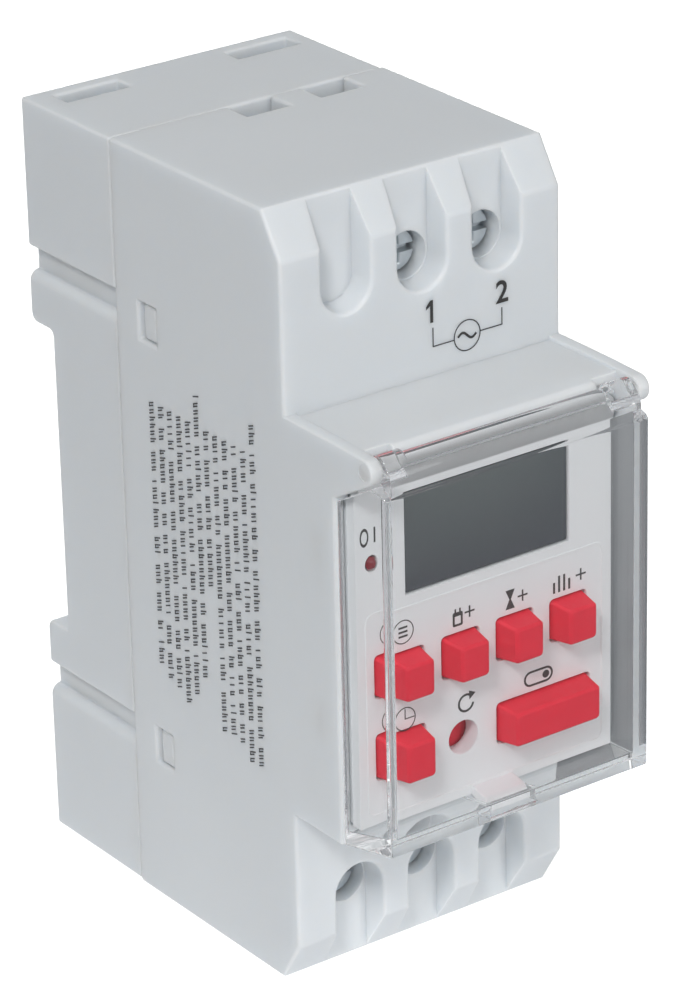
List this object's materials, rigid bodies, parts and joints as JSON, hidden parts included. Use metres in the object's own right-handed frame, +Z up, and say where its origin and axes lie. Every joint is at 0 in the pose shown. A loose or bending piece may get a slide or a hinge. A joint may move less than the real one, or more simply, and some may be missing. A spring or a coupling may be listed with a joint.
{
  "type": "din rail timer",
  "caption": "Rail-mounted digital timer: split shell, flip-up clear cover, LCD, rubber keys, clamp terminals and sliding rail clip.",
  "frame": {"origin": "centre of the face that rests on the 35 mm rail", "axes": "+X to the right seen from the front, -Y out of the front, +Z up"},
  "size_m": [0.036, 0.0638, 0.0886],
  "materials": {
    "shell_grey": "satin moulded",
    "panel_white": "satin moulded",
    "clear_plastic": "polished clear",
    "key_red": "matte silicone",
    "mat_red": "matte silicone",
    "lcd_grey": "satin polariser",
    "led_red": "gloss",
    "black_plastic": "satin",
    "zebra_grey": "matte",
    "board_green": "solder mask",
    "relay_blue": "satin",
    "capacitor_yellow": "satin",
    "sleeve_black": "gloss sleeve",
    "varistor_blue": "dipped epoxy",
    "ceramic": "matte",
    "wire_grey": "insulation",
    "zinc_steel": "zinc plated",
    "can_steel": "nickel plated",
    "brass": "plain"
  },
  "bodies": {
    "housing": {"front_housing": "shell_grey", "rear_housing": "shell_grey", "front_panel": "panel_white", "keypad_mat": "mat_red", "lcd_glass": "lcd_grey", "lcd_frame": "black_plastic", "zebra_strip": "zebra_grey", "indicator_led": "led_red", "display_board": "board_green", "timer_chip": "black_plastic", "crystal": "can_steel", "backup_battery": "can_steel", "power_board": "board_green", "relay": "relay_blue", "dropper_capacitor": "capacitor_yellow", "smoothing_capacitor": "sleeve_black", "bridge_rectifier": "black_plastic", "varistor": "varistor_blue", "fuse_resistor": "ceramic", "board_link": "wire_grey", "din_clip_spring": "zinc_steel", "terminal_plate_1": "brass", "terminal_plate_2": "brass", "terminal_plate_3": "brass", "terminal_plate_4": "brass", "terminal_plate_5": "brass"},
    "cover": {"clear_cover": "clear_plastic"},
    "rail_clip": {"din_clip": "black_plastic"},
    "program_key": {"button_program": "key_red"},
    "day_key": {"button_day": "key_red"},
    "hour_key": {"button_hour": "key_red"},
    "minute_key": {"button_minute": "key_red"},
    "clock_key": {"button_clock": "key_red"},
    "manual_key": {"button_manual": "key_red"},
    "reset_key": {"button_reset": "key_red"},
    "screw_1": {"terminal_screw_1": "zinc_steel"},
    "clamp_1": {"terminal_clamp_1": "zinc_steel"},
    "screw_2": {"terminal_screw_2": "zinc_steel"},
    "clamp_2": {"terminal_clamp_2": "zinc_steel"},
    "screw_3": {"terminal_screw_3": "zinc_steel"},
    "clamp_3": {"terminal_clamp_3": "zinc_steel"},
    "screw_4": {"terminal_screw_4": "zinc_steel"},
    "clamp_4": {"terminal_clamp_4": "zinc_steel"},
    "screw_5": {"terminal_screw_5": "zinc_steel"},
    "clamp_5": {"terminal_clamp_5": "zinc_steel"}
  },
  "joints": [
    {"name": "cover_hinge", "type": "hinge", "parent": "housing", "child": "cover", "pos_m": [0, -0.0572, 0.021], "axis": [-1, 0, 0], "range_deg": [0, 110]},
    {"name": "rail_clip_slide", "type": "slide", "parent": "housing", "child": "rail_clip", "axis": [0, 0, -1], "range_m": [0, 0.004], "deforming": ["din_clip_spring"]},
    {"name": "program_press", "type": "slide", "parent": "housing", "child": "program_key", "axis": [0, 1, 0], "range_m": [0, 0.001]},
    {"name": "day_press", "type": "slide", "parent": "housing", "child": "day_key", "axis": [0, 1, 0], "range_m": [0, 0.001]},
    {"name": "hour_press", "type": "slide", "parent": "housing", "child": "hour_key", "axis": [0, 1, 0], "range_m": [0, 0.001]},
    {"name": "minute_press", "type": "slide", "parent": "housing", "child": "minute_key", "axis": [0, 1, 0], "range_m": [0, 0.001]},
    {"name": "clock_press", "type": "slide", "parent": "housing", "child": "clock_key", "axis": [0, 1, 0], "range_m": [0, 0.001]},
    {"name": "manual_press", "type": "slide", "parent": "housing", "child": "manual_key", "axis": [0, 1, 0], "range_m": [0, 0.001]},
    {"name": "reset_press", "type": "slide", "parent": "housing", "child": "reset_key", "axis": [0, 1, 0], "range_m": [0, 0.0008]},
    {"name": "screw_1_turn", "type": "hinge", "parent": "housing", "child": "screw_1", "pos_m": [0, -0.0378, 0.035], "axis": [0, 1, 0], "range_deg": [0, 2101]},
    {"name": "clamp_1_lift", "type": "slide", "parent": "housing", "child": "clamp_1", "axis": [0, -1, 0], "range_m": [0, 0.0035]},
    {"name": "screw_2_turn", "type": "hinge", "parent": "housing", "child": "screw_2", "pos_m": [0.0097, -0.0378, 0.035], "axis": [0, 1, 0], "range_deg": [0, 2101]},
    {"name": "clamp_2_lift", "type": "slide", "parent": "housing", "child": "clamp_2", "axis": [0, -1, 0], "range_m": [0, 0.0035]},
    {"name": "screw_3_turn", "type": "hinge", "parent": "housing", "child": "screw_3", "pos_m": [-0.0097, -0.0378, -0.035], "axis": [0, 1, 0], "range_deg": [0, 2101]},
    {"name": "clamp_3_lift", "type": "slide", "parent": "housing", "child": "clamp_3", "axis": [0, -1, 0], "range_m": [0, 0.0035]},
    {"name": "screw_4_turn", "type": "hinge", "parent": "housing", "child": "screw_4", "pos_m": [0, -0.0378, -0.035], "axis": [0, 1, 0], "range_deg": [0, 2101]},
    {"name": "clamp_4_lift", "type": "slide", "parent": "housing", "child": "clamp_4", "axis": [0, -1, 0], "range_m": [0, 0.0035]},
    {"name": "screw_5_turn", "type": "hinge", "parent": "housing", "child": "screw_5", "pos_m": [0.0097, -0.0378, -0.035], "axis": [0, 1, 0], "range_deg": [0, 2101]},
    {"name": "clamp_5_lift", "type": "slide", "parent": "housing", "child": "clamp_5", "axis": [0, -1, 0], "range_m": [0, 0.0035]}
  ],
  "couplings": [
    {"joint": "screw_1_turn", "follows": "clamp_1_lift", "rad_per_m": 10472},
    {"joint": "screw_2_turn", "follows": "clamp_2_lift", "rad_per_m": 10472},
    {"joint": "screw_3_turn", "follows": "clamp_3_lift", "rad_per_m": 10472},
    {"joint": "screw_4_turn", "follows": "clamp_4_lift", "rad_per_m": 10472},
    {"joint": "screw_5_turn", "follows": "clamp_5_lift", "rad_per_m": 10472}
  ]
}
